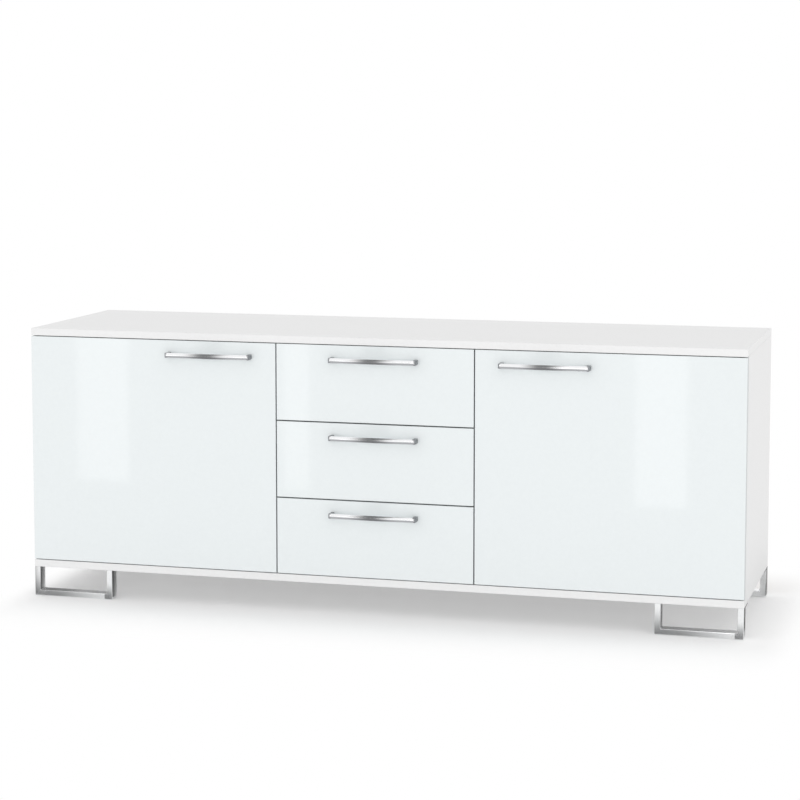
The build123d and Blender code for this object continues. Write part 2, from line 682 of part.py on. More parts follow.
def channel(back_x, toward, depth, height, y, z):
    """A steel channel whose web lies at back_x and whose flanges point toward -1 or 1."""
    outside = block((back_x, back_x + toward * depth), y, (z - height / 2, z + height / 2))
    hollow_x = (back_x + toward * SLIDE_STEEL, back_x + toward * (depth + OVERRUN))
    hollow_y = (y[0] - OVERRUN, y[1] + OVERRUN)
    hollow_z = (z - height / 2 + SLIDE_STEEL, z + height / 2 - SLIDE_STEEL)
    return outside - block(hollow_x, hollow_y, hollow_z)


def rail_screw_seats(drawer):
    x = RAIL_FACE_X + SLIDE_STEEL
    places = (RAIL_Y + RAIL_SCREW_INSET, (RAIL_Y + BOX_BACK_Y) / 2, BOX_BACK_Y - RAIL_SCREW_INSET)
    return [(x, y, slide_z(drawer)) for y in places]


def rail_screws(drawer, spare=0.0):
    return [countersunk_screw(seat, (-1, 0, 0), spare) for seat in rail_screw_seats(drawer)]


def left_rail(drawer):
    rail = channel(RAIL_FACE_X, 1, RAIL_DEPTH, RAIL_HEIGHT, (RAIL_Y, BOX_BACK_Y), slide_z(drawer))
    return rail - rail_screws(drawer, FIT)


def left_runner(drawer):
    return channel(-BOX_HALF, -1, RUNNER_DEPTH, RUNNER_HEIGHT, (RUNNER_Y, BOX_BACK_Y), slide_z(drawer))


def ball_places(drawer):
    first = CAGE_Y + (CAGE_LENGTH - (BALLS_IN_ROW - 1) * BALL_PITCH) / 2
    rows = (slide_z(drawer) - BALL_OFFSET, slide_z(drawer) + BALL_OFFSET)
    return [(BALL_X, first + number * BALL_PITCH, z) for z in rows for number in range(BALLS_IN_ROW)]


def left_cage(drawer):
    """A thin channel that holds the balls of both rows, one strip above and one below."""
    y = (CAGE_Y, CAGE_Y + CAGE_LENGTH)
    z = slide_z(drawer)
    half = BALL_OFFSET + CAGE_STEEL / 2
    cage = block(CAGE_X, y, (z - half, z + half))
    for row in (z - BALL_OFFSET, z + BALL_OFFSET):
        strip_z = (row - CAGE_STEEL / 2, row + CAGE_STEEL / 2)
        cage += block((CAGE_X[0], BALL_X + CAGE_HOLE / 2 + CAGE_STEEL), y, strip_z)
    for x, ball_y, row in ball_places(drawer):
        cage -= rod(CAGE_HOLE, (x, ball_y, row - CAGE_STEEL), (x, ball_y, row + CAGE_STEEL))
    return cage


def left_cage_and_balls(drawer):
    balls = [Pos(*place) * Sphere(BALL / 2) for place in ball_places(drawer)]
    return [left_cage(drawer)] + balls


# Write the carcass
save("top_panel", [top_panel()])
save("bottom_panel", [bottom_panel()])
save("left_side_panel", [left_side_panel()])
save("right_side_panel", mirrored([left_side_panel()]))
save("left_partition", [left_partition()])
save("right_partition", mirrored([left_partition()]))
save("left_back_panel", [back_panel(LEFT_SPAN)])
save("middle_back_panel", [back_panel(MIDDLE_SPAN)])
save("right_back_panel", mirrored([back_panel(LEFT_SPAN)]))
save("back_nails", back_nails())
save("left_shelf", [left_shelf()])
save("right_shelf", mirrored([left_shelf()]))
save("shelf_pins", left_shelf_pins() + mirrored(left_shelf_pins()))
save("front_left_foot", [foot(True, True)])
save("front_right_foot", [foot(True, False)])
save("rear_left_foot", [foot(False, True)])
save("rear_right_foot", [foot(False, False)])
save("carcass_dowels", [dowel(x, y, end) for x, _ in UPRIGHTS.values() for y in DOWEL_ROWS for end in ENDS])
save("cam_discs", [cam_disc(upright, y, end) for upright in UPRIGHTS for y in CAM_ROWS for end in ENDS])
save("cam_bolts", [cam_bolt(upright, y, end) for upright in UPRIGHTS for y in CAM_ROWS for end in ENDS])

# Write the hinges that stay on the carcass
PLATES = [hinge_plate(z) for z in HINGE_HEIGHTS]
ARMS = [hinge_arm(z) for z in HINGE_HEIGHTS]
save("hinge_plates", PLATES + mirrored(PLATES))
save("hinge_arms", ARMS + mirrored(ARMS))

# Write the rails that stay on the carcass
RAILS = [left_rail(drawer) for drawer in range(DRAWER_COUNT)]
save("slide_rails", RAILS + mirrored(RAILS))

# Write the countersunk screws of the feet, hinge plates and rails, all alike
HINGE_SCREWS = [screw for z in HINGE_HEIGHTS for screw in hinge_screws(z)]
RAIL_SCREWS = [screw for drawer in range(DRAWER_COUNT) for screw in rail_screws(drawer)]
HARDWARE_SCREWS = HINGE_SCREWS + RAIL_SCREWS
save("countersunk_screws", foot_screws() + HARDWARE_SCREWS + mirrored(HARDWARE_SCREWS))

# Write the doors
DOOR_PIECES = {
    "door_panel": [left_door_panel()],
    "door_handle": [handle(DOOR_HANDLE_X, DOOR_HANDLE_Z)],
    "door_handle_screws": handle_screws(DOOR_HANDLE_X, DOOR_HANDLE_Z),
    "door_hinge_cups": [hinge_cup(z) for z in HINGE_HEIGHTS],
    "door_hinge_pins": [hinge_pin(z) for z in HINGE_HEIGHTS],
    "door_bumpers": left_door_bumpers(),
}
for name, solids in DOOR_PIECES.items():
    save(f"left_{name}", solids)
    save(f"right_{name}", mirrored(solids))

# Write the drawers
for drawer, place in enumerate(("top", "middle", "bottom")):
    runner = left_runner(drawer)
    cage = left_cage_and_balls(drawer)
    save(f"{place}_drawer_front", [drawer_front(drawer)])
    save(f"{place}_drawer_sides", drawer_sides(drawer))
    save(f"{place}_drawer_back", [drawer_back(drawer)])
    save(f"{place}_drawer_bottom", [bottom_board(drawer)])
    save(f"{place}_drawer_handle", [handle(0, drawer_handle_z(drawer))])
    save(f"{place}_drawer_handle_screws", handle_screws(0, drawer_handle_z(drawer)))
    save(f"{place}_drawer_runners", [runner] + mirrored([runner]))
    save(f"{place}_drawer_ball_cages", cage + mirrored(cage))
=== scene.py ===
# %% [markdown]
# A sideboard in white board, gloss lacquer and satin chrome.
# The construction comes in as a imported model: boards, fronts, hinges, slides and screws, each at its
# real size and place, in metres, with +Z up and the front looking along -Y.
# This lesson gives every piece its finish, carries new bow handles along a curve, and sets up a
# small white studio with a camera.

import json
import math

import bpy
import numpy as np
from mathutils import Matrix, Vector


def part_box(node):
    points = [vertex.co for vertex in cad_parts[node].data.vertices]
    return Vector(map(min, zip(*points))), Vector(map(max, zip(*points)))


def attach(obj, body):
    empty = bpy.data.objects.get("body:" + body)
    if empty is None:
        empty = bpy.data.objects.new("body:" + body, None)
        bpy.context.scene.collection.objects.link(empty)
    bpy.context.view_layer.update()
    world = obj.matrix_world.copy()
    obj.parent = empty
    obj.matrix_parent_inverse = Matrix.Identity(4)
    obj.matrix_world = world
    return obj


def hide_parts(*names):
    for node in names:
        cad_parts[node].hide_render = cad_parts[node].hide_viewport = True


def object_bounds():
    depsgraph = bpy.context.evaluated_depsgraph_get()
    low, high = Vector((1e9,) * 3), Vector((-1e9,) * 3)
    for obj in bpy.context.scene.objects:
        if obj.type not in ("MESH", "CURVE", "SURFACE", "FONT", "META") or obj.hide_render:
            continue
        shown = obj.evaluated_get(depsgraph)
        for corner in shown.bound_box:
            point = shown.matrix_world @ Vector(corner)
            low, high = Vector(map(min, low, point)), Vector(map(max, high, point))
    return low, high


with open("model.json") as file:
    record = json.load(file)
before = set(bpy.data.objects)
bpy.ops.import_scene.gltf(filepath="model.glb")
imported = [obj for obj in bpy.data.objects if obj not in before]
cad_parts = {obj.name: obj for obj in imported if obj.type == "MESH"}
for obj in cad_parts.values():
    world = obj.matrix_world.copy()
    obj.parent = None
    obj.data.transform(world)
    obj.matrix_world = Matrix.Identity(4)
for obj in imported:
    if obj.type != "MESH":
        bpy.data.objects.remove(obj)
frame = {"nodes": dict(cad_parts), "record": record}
CAD_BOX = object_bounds()
MM = 0.001
print("pieces in the construction:", len(frame["nodes"]))
print("box of the construction:", [[round(value, 4) for value in corner] for corner in CAD_BOX])

# %% [markdown]
# The photograph was taken from the right of the middle, a little above the top of the sideboard, with
# a long lens. A long lens keeps the far end of a wide piece of furniture almost as tall as the near end.
# Part of the view downwards comes from tilting the camera and part from shifting the lens, because a
# shift keeps upright edges upright.

# %% Camera
CAMERA_PLACE = (1.504, -5.443, 1.273)
CAMERA_TURN = 15.445
CAMERA_TILT = 5.727
LENS_LENGTH = 101.5
LENS_SHIFT = -0.10

camera_data = bpy.data.cameras.new("studio_camera")
camera_data.lens = LENS_LENGTH
camera_data.shift_y = LENS_SHIFT
camera = bpy.data.objects.new("studio_camera", camera_data)
camera.location = CAMERA_PLACE
camera.rotation_euler = (math.radians(90 - CAMERA_TILT), 0, math.radians(CAMERA_TURN))
bpy.context.scene.collection.objects.link(camera)
bpy.context.scene.camera = camera
bpy.context.scene.view_settings.view_transform = "Standard"
print("camera:", LENS_LENGTH, "mm lens at", CAMERA_PLACE)

# %% [markdown]
# Two small tools serve every finish. A paint chart gives colours as sRGB hex values, and the renderer
# wants linear light, so one function turns the one into the other. Shader nodes are all added by one
# other function, which sets a node's options and joins or sets its sockets in a single call. Each finish
# then starts from an empty tree, so that nothing in it is there by accident.


# %% Tools for finishes
def linear(hex_colour):
    """Linear RGBA of an sRGB hex colour: each channel goes through the sRGB curve backwards."""
    srgb = np.array([int(hex_colour[i:i + 2], 16) for i in (1, 3, 5)]) / 255
    light = np.where(srgb <= 0.04045, srgb / 12.92, ((srgb + 0.055) / 1.055) ** 2.4)
    return (*light.tolist(), 1.0)


def add(tree, kind, sockets=None, **options):
    """Add a shader node, set its options, and join or set its input sockets by name or number."""
    new = tree.nodes.new("ShaderNode" + kind)
    for name, value in options.items():
        setattr(new, name, value)
    for key, value in (sockets or {}).items():
        if isinstance(value, bpy.types.NodeSocket):
            tree.links.new(value, new.inputs[key])
        else:
            new.inputs[key].default_value = value
    return new


def empty_finish(name):
    """A new material and its tree, with no nodes in it."""
    finish = bpy.data.materials.new(name)
    finish.use_nodes = True
    finish.node_tree.nodes.clear()
    return finish, finish.node_tree


def start_finish(name):
    """A new material with its tree, an output, a Principled shader and the coordinates of its points."""
    finish, tree = empty_finish(name)
    shader = add(tree, "BsdfPrincipled")
    add(tree, "OutputMaterial", {"Surface": shader.outputs["BSDF"]})
    place = add(tree, "TexCoord")
    return finish, tree, shader, place


print("white card is", [round(value, 3) for value in linear("#FFFFFF")])

# %% [markdown]
# Melamine-faced chipboard is a printed paper soaked in resin and pressed on a board between steel
# plates. The plates carry a fine pearl texture, so the face is matt and scatters highlights softly.
# The real pearls are about half a millimetre wide, too fine to show from across a room, so the mottle
# in the colour is drawn some ten times as coarse and very faint, while the bump keeps a finer grain.

# %% Melamine board, pressed matt white
PEARL = 1.2 * MM
PEARL_ROUGHNESS = {"To Min": 0.42, "To Max": 0.58}
PEARL_BUMP = {"Strength": 0.25, "Distance": 0.04 * MM}
MOTTLE = 6.0 * MM
RESIN_IOR = 1.5


def melamine_board():
    """A coarse noise mixes two near whites, and a fine one sets the roughness and the bump."""
    finish, tree, shader, place = start_finish("melamine_board_pressed_matt_white")
    where = place.outputs["Object"]
    mottle = add(tree, "TexNoise", {"Vector": where, "Scale": 1 / MOTTLE, "Detail": 3.0})
    tint = add(tree, "MixRGB", {"Fac": mottle.outputs["Fac"], 1: linear("#E6E6E6"), 2: linear("#EBEBEB")})
    pearl = add(tree, "TexNoise", {"Vector": where, "Scale": 1 / PEARL, "Detail": 2.0})
    gloss = add(tree, "MapRange", {"Value": pearl.outputs["Fac"], **PEARL_ROUGHNESS})
    bump = add(tree, "Bump", {"Height": pearl.outputs["Fac"], **PEARL_BUMP})
    tree.links.new(tint.outputs["Color"], shader.inputs["Base Color"])
    tree.links.new(gloss.outputs["Result"], shader.inputs["Roughness"])
    tree.links.new(bump.outputs["Normal"], shader.inputs["Normal"])
    shader.inputs["IOR"].default_value = RESIN_IOR
    return finish


matt_board = melamine_board()
print("made", matt_board.name, "with pearls of", PEARL, "m")

# %% [markdown]
# The fronts are board with a high-gloss white lacquer: several sprayed and polished coats that mirror
# the room like a sheet of glass, with a cool cast beside the warmer matt board. Polishing never quite
# removes the orange peel of the spray, so the mirror image is very slightly wavy. The back of such a
# front is plain matt board, so the finish asks how far back a point lies and turns matt there. The narrow
# edges are banded with a matt plastic strip, a little greyer than the lacquer. A point's normal finds them.

# %% High-gloss lacquer, sprayed and polished
ORANGE_PEEL = 9.0 * MM
PEEL_BUMP = {"Strength": 0.1, "Distance": 0.02 * MM}
GLOSS_TO_MATT = {"To Min": 0.06, "To Max": 0.5}
COAT_TO_NONE = {"To Min": 1.0, "To Max": 0.0}
COAT_ROUGHNESS = 0.02
LACQUER_IOR = 1.5
FRONT_BACK_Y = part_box("left_door_panel")[1].y
BACK_FACE = 0.3 * MM
EDGE_FACING = 0.7


def gloss_lacquer():
    """A noise mixes two cool whites, and points at the back or on the edges turn plain and matt."""
    finish, tree, shader, place = start_finish("board_lacquered_high_gloss_white")
    where = place.outputs["Object"]
    parts = add(tree, "SeparateXYZ", {"Vector": where})
    matt_from = FRONT_BACK_Y - BACK_FACE
    matt = add(tree, "Math", {0: parts.outputs["Y"], 1: matt_from}, operation="GREATER_THAN")
    behind = matt.outputs["Value"]
    peel = add(tree, "TexNoise", {"Vector": where, "Scale": 1 / ORANGE_PEEL, "Detail": 1.0})
    tint = add(tree, "MixRGB", {"Fac": peel.outputs["Fac"], 1: linear("#E3E8E9"), 2: linear("#E6EBEC")})
    facing = add(tree, "VectorMath", {0: place.outputs["Normal"]}, operation="ABSOLUTE")
    aside = add(tree, "SeparateXYZ", {"Vector": facing.outputs["Vector"]})
    turned = add(tree, "Math", {0: aside.outputs["X"], 1: aside.outputs["Z"]}, operation="MAXIMUM")
    edge = add(tree, "Math", {0: turned.outputs["Value"], 1: EDGE_FACING}, operation="GREATER_THAN")
    band = {"Fac": edge.outputs["Value"], 1: tint.outputs["Color"], 2: linear("#CCD0D1")}
    banded = add(tree, "MixRGB", band)
    colour = add(tree, "MixRGB", {"Fac": behind, 1: banded.outputs["Color"], 2: linear("#EBEBEB")})
    plain = add(tree, "Math", {0: behind, 1: edge.outputs["Value"]}, operation="MAXIMUM").outputs["Value"]
    gloss = add(tree, "MapRange", {"Value": plain, **GLOSS_TO_MATT})
    shine = add(tree, "MapRange", {"Value": plain, **COAT_TO_NONE})
    bump = add(tree, "Bump", {"Height": peel.outputs["Fac"], **PEEL_BUMP})
    tree.links.new(colour.outputs["Color"], shader.inputs["Base Color"])
    tree.links.new(gloss.outputs["Result"], shader.inputs["Roughness"])
    tree.links.new(shine.outputs["Result"], shader.inputs["Coat Weight"])
    tree.links.new(bump.outputs["Normal"], shader.inputs["Normal"])
    shader.inputs["IOR"].default_value = LACQUER_IOR
    shader.inputs["Coat Roughness"].default_value = COAT_ROUGHNESS
    shader.inputs["Coat IOR"].default_value = LACQUER_IOR
    return finish


gloss_front = gloss_lacquer()
print("made", gloss_front.name, "with a matt back from y =", round(FRONT_BACK_Y - BACK_FACE, 4))

# %% [markdown]
# The feet are steel tube with satin chrome. The steel is blasted or brushed before plating, so the
# chrome keeps the brightness of a mirror but blurs what it mirrors. A faint cloudiness in the
# roughness is what the eye reads as satin.

# %% Satin chrome, plated on blasted steel
SATIN_CLOUD = 7.0 * MM
SATIN_ROUGHNESS = {"To Min": 0.13, "To Max": 0.19}
SATIN_GRAIN = 0.8 * MM
SATIN_BUMP = {"Strength": 0.15, "Distance": 0.01 * MM}


def satin_chrome():
    """A cloudy noise varies the tint and the roughness a little, and a fine one gives the grain."""
    finish, tree, shader, place = start_finish("steel_plated_satin_chrome")
    where = place.outputs["Object"]
    cloud = add(tree, "TexNoise", {"Vector": where, "Scale": 1 / SATIN_CLOUD, "Detail": 2.0})
    tint = add(tree, "MixRGB", {"Fac": cloud.outputs["Fac"], 1: linear("#EDEEEF"), 2: linear("#F5F6F6")})
    gloss = add(tree, "MapRange", {"Value": cloud.outputs["Fac"], **SATIN_ROUGHNESS})
    grain = add(tree, "TexNoise", {"Vector": where, "Scale": 1 / SATIN_GRAIN, "Detail": 1.0})
    bump = add(tree, "Bump", {"Height": grain.outputs["Fac"], **SATIN_BUMP})
    tree.links.new(tint.outputs["Color"], shader.inputs["Base Color"])
    tree.links.new(gloss.outputs["Result"], shader.inputs["Roughness"])
    tree.links.new(bump.outputs["Normal"], shader.inputs["Normal"])
    shader.inputs["Metallic"].default_value = 1.0
    return finish


chrome = satin_chrome()
print("made", chrome.name, "with clouds of", SATIN_CLOUD, "m")

# %% [markdown]
# The handles are cast from zinc alloy and plated. The bow shines like a mirror, and the legs and the ends
# are coloured a darker grey and are rougher. Each point of a handle carries a number for its share of
# the bow, and the finish mixes the two by that number.

# %% Handle plating, darker on the legs
HANDLE_CLOUD = 5.0 * MM
BOW_ROUGHNESS = {"To Min": 0.09, "To Max": 0.14}
LEG_ROUGHNESS = 0.36


def handle_plating():
    """Colour and roughness go from the darker, rougher legs to the bright bow by each point's share of the
    bow, with a cloudy noise.
    """
    finish, tree, shader, place = start_finish("zinc_alloy_plated_darker_legs")
    where = place.outputs["Object"]
    cloud = add(tree, "TexNoise", {"Vector": where, "Scale": 1 / HANDLE_CLOUD, "Detail": 2.0})
    # Each point's share of the bow: 0 on the legs and the ends, 1 on the bow.
    bow_share = add(tree, "Attribute", attribute_name="bow_share").outputs["Fac"]
    bright = add(tree, "MixRGB", {"Fac": cloud.outputs["Fac"], 1: linear("#F1F2F3"), 2: linear("#F8F8F9")})
    # The legs and the ends are coloured a darker grey than the bow.
    leg_grey = add(tree, "MixRGB", {"Fac": cloud.outputs["Fac"], 1: linear("#85878A"), 2: linear("#919396")})
    colour = add(tree, "MixRGB", {"Fac": bow_share, 1: leg_grey.outputs["Color"], 2: bright.outputs["Color"]})
    smooth = add(tree, "MapRange", {"Value": cloud.outputs["Fac"], **BOW_ROUGHNESS})
    ends = {"To Min": LEG_ROUGHNESS, "To Max": smooth.outputs["Result"]}
    gloss = add(tree, "MapRange", {"Value": bow_share, **ends})
    tree.links.new(colour.outputs["Color"], shader.inputs["Base Color"])
    tree.links.new(gloss.outputs["Result"], shader.inputs["Roughness"])
    shader.inputs["Metallic"].default_value = 1.0
    return finish


handle_finish = handle_plating()
print("made", handle_finish.name, "for the handles")

# %% [markdown]
# Hinges, slides, screws and nails are steel with a thin electroplated coat of zinc. It is greyer and
# bluer than chrome, cloudy in patches where the bath worked unevenly, and rather rough.

# %% Zinc-plated steel, bright dipped
ZINC_PATCH = 5.0 * MM
ZINC_ROUGHNESS = {"To Min": 0.42, "To Max": 0.24}


def zinc_plated_steel():
    """One patchy noise mixes two blue greys, and the paler patches are the smoother ones."""
    finish, tree, shader, place = start_finish("steel_zinc_plated_bright")
    where = place.outputs["Object"]
    patch = add(tree, "TexNoise", {"Vector": where, "Scale": 1 / ZINC_PATCH, "Detail": 4.0})
    tint = add(tree, "MixRGB", {"Fac": patch.outputs["Fac"], 1: linear("#A9AFB6"), 2: linear("#CDD1D4")})
    gloss = add(tree, "MapRange", {"Value": patch.outputs["Fac"], **ZINC_ROUGHNESS})
    tree.links.new(tint.outputs["Color"], shader.inputs["Base Color"])
    tree.links.new(gloss.outputs["Result"], shader.inputs["Roughness"])
    shader.inputs["Metallic"].default_value = 1.0
    return finish


zinc = zinc_plated_steel()
print("made", zinc.name, "with patches of", ZINC_PATCH, "m")

# %% [markdown]
# The cam discs are cast from zinc alloy in a steel die and left as they come out: a dull, warm grey with
# the fine sandy skin of the die.

# %% Zinc alloy, die cast
CAST_SAND = 0.7 * MM
CAST_BUMP = {"Strength": 0.5, "Distance": 0.05 * MM}
CAST_ROUGHNESS = 0.5


def die_cast_zinc():
    """One fine noise mixes two warm greys and raises the sandy skin."""
    finish, tree, shader, place = start_finish("zinc_alloy_die_cast")
    sand = add(tree, "TexNoise", {"Vector": place.outputs["Object"], "Scale": 1 / CAST_SAND, "Detail": 3.0})
    tint = add(tree, "MixRGB", {"Fac": sand.outputs["Fac"], 1: linear("#8E8F90"), 2: linear("#A9AAAA")})
    bump = add(tree, "Bump", {"Height": sand.outputs["Fac"], **CAST_BUMP})
    tree.links.new(tint.outputs["Color"], shader.inputs["Base Color"])
    tree.links.new(bump.outputs["Normal"], shader.inputs["Normal"])
    shader.inputs["Metallic"].default_value = 1.0
    shader.inputs["Roughness"].default_value = CAST_ROUGHNESS
    return finish


cast_zinc = die_cast_zinc()
print("made", cast_zinc.name, "with sand of", CAST_SAND, "m")

# %% [markdown]
# Thin panels, the backs of the bays and the drawer bottoms, are hardboard: wood fibres pressed to a brown
# sheet. The face that shows inside is painted white, and the other side stays bare. A point's own
# normal says which side it is on: the painted side faces forwards on a back and upwards on a bottom.
# Single fibres are far too fine to show, so the mottle is drawn as coarse as clumps of them, 14 mm wide.

# %% Hardboard, pressed and painted on one side
FIBRE = 14.0 * MM
FIBRE_ROUGHNESS = {"To Min": 0.5, "To Max": 0.75}
FIBRE_BUMP = {"Strength": 0.3, "Distance": 0.06 * MM}
FACING = 0.5


def hardboard():
    """A twisted noise mixes two browns, and paint covers points that face forwards or upwards."""
    finish, tree, shader, place = start_finish("hardboard_pressed_painted_inside")
    facing = add(tree, "SeparateXYZ", {"Vector": place.outputs["Normal"]})
    forwards = add(tree, "Math", {0: facing.outputs["Y"], 1: -1.0}, operation="MULTIPLY")
    seen = add(tree, "Math", {0: forwards.outputs["Value"], 1: facing.outputs["Z"]}, operation="MAXIMUM")
    painted = add(tree, "Math", {0: seen.outputs["Value"], 1: FACING}, operation="GREATER_THAN")
    where = place.outputs["Object"]
    fibre = add(tree, "TexNoise", {"Vector": where, "Scale": 1 / FIBRE, "Detail": 8.0, "Distortion": 1.5})
    bare = add(tree, "MixRGB", {"Fac": fibre.outputs["Fac"], 1: linear("#6E4F35"), 2: linear("#A17F5C")})
    sides = {"Fac": painted.outputs["Value"], 1: bare.outputs["Color"], 2: linear("#EAEAEA")}
    colour = add(tree, "MixRGB", sides)
    gloss = add(tree, "MapRange", {"Value": fibre.outputs["Fac"], **FIBRE_ROUGHNESS})
    bump = add(tree, "Bump", {"Height": fibre.outputs["Fac"], **FIBRE_BUMP})
    tree.links.new(colour.outputs["Color"], shader.inputs["Base Color"])
    tree.links.new(gloss.outputs["Result"], shader.inputs["Roughness"])
    tree.links.new(bump.outputs["Normal"], shader.inputs["Normal"])
    return finish


thin_board = hardboard()
print("made", thin_board.name, "with clumps of", FIBRE, "m")

# %% [markdown]
# Dowels are turned from beech. Its grain is straight, pale and flecked, so a noise is stretched along
# the dowel, which stands upright.

# %% Beech, turned
GRAIN_WIDTH = 0.7 * MM
GRAIN_LENGTH = 18.0 * MM
BEECH_ROUGHNESS = 0.6


def beech():
    """A noise that is fine across and long upwards mixes two pale browns."""
    finish, tree, shader, place = start_finish("beech_turned")
    scale = (1 / GRAIN_WIDTH, 1 / GRAIN_WIDTH, 1 / GRAIN_LENGTH)
    stretched = add(tree, "Mapping", {"Vector": place.outputs["Object"], "Scale": scale})
    grain = add(tree, "TexNoise", {"Vector": stretched.outputs["Vector"], "Scale": 1.0, "Detail": 4.0})
    tint = add(tree, "MixRGB", {"Fac": grain.outputs["Fac"], 1: linear("#C79A6B"), 2: linear("#E3C39A")})
    tree.links.new(tint.outputs["Color"], shader.inputs["Base Color"])
    shader.inputs["Roughness"].default_value = BEECH_ROUGHNESS
    return finish


dowel_wood = beech()
print("made", dowel_wood.name, "with grain", GRAIN_WIDTH, "m wide")

# %% [markdown]
# The soft stops behind the doors are drops of clear polyurethane. They let light through and are a
# little hazy, with the odd speck of dust.

# %% Polyurethane, cast clear
SPECK = 1.5 * MM
HAZE_ROUGHNESS = {"To Min": 0.12, "To Max": 0.3}
CLEARNESS = 0.85
POLYURETHANE_IOR = 1.5


def clear_polyurethane():
    """Light passes through, and a speckled noise sets the haze."""
    finish, tree, shader, place = start_finish("polyurethane_cast_clear")
    speck = add(tree, "TexNoise", {"Vector": place.outputs["Object"], "Scale": 1 / SPECK, "Detail": 2.0})
    haze = add(tree, "MapRange", {"Value": speck.outputs["Fac"], **HAZE_ROUGHNESS})
    tree.links.new(haze.outputs["Result"], shader.inputs["Roughness"])
    shader.inputs["Base Color"].default_value = linear("#F3F5F2")
    shader.inputs["Transmission Weight"].default_value = CLEARNESS
    shader.inputs["IOR"].default_value = POLYURETHANE_IOR
    return finish


soft_stop = clear_polyurethane()
print("made", soft_stop.name, "with specks of", SPECK, "m")

# %% [markdown]
# The record of the construction names a slot for every piece: what it is made of and finished with. One
# table joins the slots to the finishes above, so a board, a screw or a dowel gets its finish by its slot.

# %% Give every piece its finish
FINISHES = {
    "white_board": matt_board,
    "gloss_white": gloss_front,
    "satin_chrome": chrome,
    "plated_steel": zinc,
    "zinc_alloy": cast_zinc,
    "hardboard": thin_board,
    "beech": dowel_wood,
    "clear_rubber": soft_stop,
}
for part in frame["record"]["subparts"]:
    mesh = frame["nodes"][part["node"]].data
    mesh.materials.clear()
    mesh.materials.append(FINISHES[part["material_slot"]])
for slot, finish in FINISHES.items():
    print(slot, "is", finish.name, "on", finish.users, "nodes")

# %% [markdown]
# The handles could be modelled by bevelling a box, but a bar whose section changes along a curve is easier
# as a carried profile: rings of points along a path, with a skin over them. The section is drawn once,
# from -1 to 1 each way, with as many points in every version of it.

# %% Tools for carried profiles
BEVEL_POWER = 1.6
EDGE_POINTS = 9
FLAT_POINTS = (0.0, 0.08, 0.5, 0.92)


def quarter(centre, radius, start, count):
    """Points of a quarter circle that starts at an angle in quarter turns and goes anticlockwise."""
    angle = (start + np.linspace(0, 1, count)) * math.pi / 2
    return np.stack([centre[0] + radius * np.cos(angle), centre[1] + radius * np.sin(angle)], axis=1)


def bevelled_section(bevel, back):
    """A bar's section from -1 to 1 each way: a flat face, soft bevels in front and round edges behind.

    Each edge is a quarter of the curve cos(angle) ** power, sin(angle) ** power, drawn to its size
    (across, high). A power of 1 is an ellipse, and one near 2 is almost a straight bevel. The flats
    between the edges get a few points of their own, so that their shading stays flat. Every section
    has as many points, so one can be blended into another.
    """
    turn = quarter((0, 0), 1, 0, EDGE_POINTS)
    edges = []
    for sign, size, power in (((1, 1), bevel, BEVEL_POWER), ((-1, 1), back, 1)):
        edge = (1 - np.array(size) + np.array(size) * turn ** power) * sign
        edges.append(edge if sign[0] > 0 else edge[::-1])
    half = np.concatenate(edges)
    outline = np.concatenate([half, half[::-1] * (1, -1)])
    following = np.roll(outline, -1, axis=0)
    flat = np.arange(len(outline)) % EDGE_POINTS == EDGE_POINTS - 1
    steps = np.array(FLAT_POINTS)[None, :, None]
    filled = outline[:, None] + (following - outline)[:, None] * steps
    keep = np.repeat(flat[:, None], len(FLAT_POINTS), axis=1)
    keep[:, 0] = True
    return filled[keep]


def carried_surface(name, rings):
    """A closed skin over rings of points, shaped (along, around, 3), with a pole at each end."""
    along, around, _ = rings.shape
    poles = rings[[0, -1]].mean(axis=1)
    points = np.concatenate([rings.reshape(-1, 3), poles])
    row, column = np.meshgrid(np.arange(along - 1), np.arange(around), indexing="ij")
    following = (column + 1) % around
    low, high = row * around, (row + 1) * around
    quads = np.stack([low + column, low + following, high + following, high + column], axis=-1)
    edge = np.arange(around)
    turned = (edge + 1) % around
    last_ring = (along - 1) * around
    first, last = np.full(around, along * around), np.full(around, along * around + 1)
    start_cap = np.stack([first, turned, edge], axis=1)
    end_cap = np.stack([last, last_ring + edge, last_ring + turned], axis=1)
    mesh = bpy.data.meshes.new(name)
    faces = quads.reshape(-1, 4).tolist() + start_cap.tolist() + end_cap.tolist()
    mesh.from_pydata(points.tolist(), [], faces)
    mesh.shade_smooth()
    mesh.update()
    piece = bpy.data.objects.new(name, mesh)
    bpy.context.scene.collection.objects.link(piece)
    return piece


print("an edge of a section has", EDGE_POINTS, "points and a flat", len(FLAT_POINTS))

# %% [markdown]
# A bow handle is one bar: a leg from the front, a tight corner, a shallow bow, a corner and a leg. Seen
# from above it lies between an outer and an inner edge. The legs stay square, rough and a darker grey,
# and the bow is bevelled and bright.

# %% Plan of a bow handle
LEG_STEPS, CORNER_STEPS, BOW_STEPS = 8, 10, 97


def plan_edge(half, end_reach, sag, corner):
    """One edge of the handle seen from above, as (x, distance from the front) from end to end.

    A straight leg runs out, a quarter circle turns it, and a parabola of height sag is the bow.
    """
    leg_out = np.linspace(0, end_reach - corner, LEG_STEPS, endpoint=False)
    leg = np.stack([np.full(LEG_STEPS, -half), leg_out], axis=1)
    turn = quarter((-half + corner, -(end_reach - corner)), corner, 2, CORNER_STEPS) * (1, -1)
    reach = half - corner
    x = np.linspace(-reach, reach, BOW_STEPS)[1:-1]
    bow = np.stack([x, end_reach + sag * (1 - (x / reach) ** 2)], axis=1)
    left = np.concatenate([leg, turn])
    return np.concatenate([left, bow, left[::-1] * (-1, 1)])


def bow_share_along():
    """Each ring's share of the bow: 0 on a leg and its corner, and 1 on the bow."""
    left = np.zeros(LEG_STEPS + CORNER_STEPS)
    return np.concatenate([left, np.ones(BOW_STEPS - 2), left])


print("a handle has", len(bow_share_along()), "rings along its path")

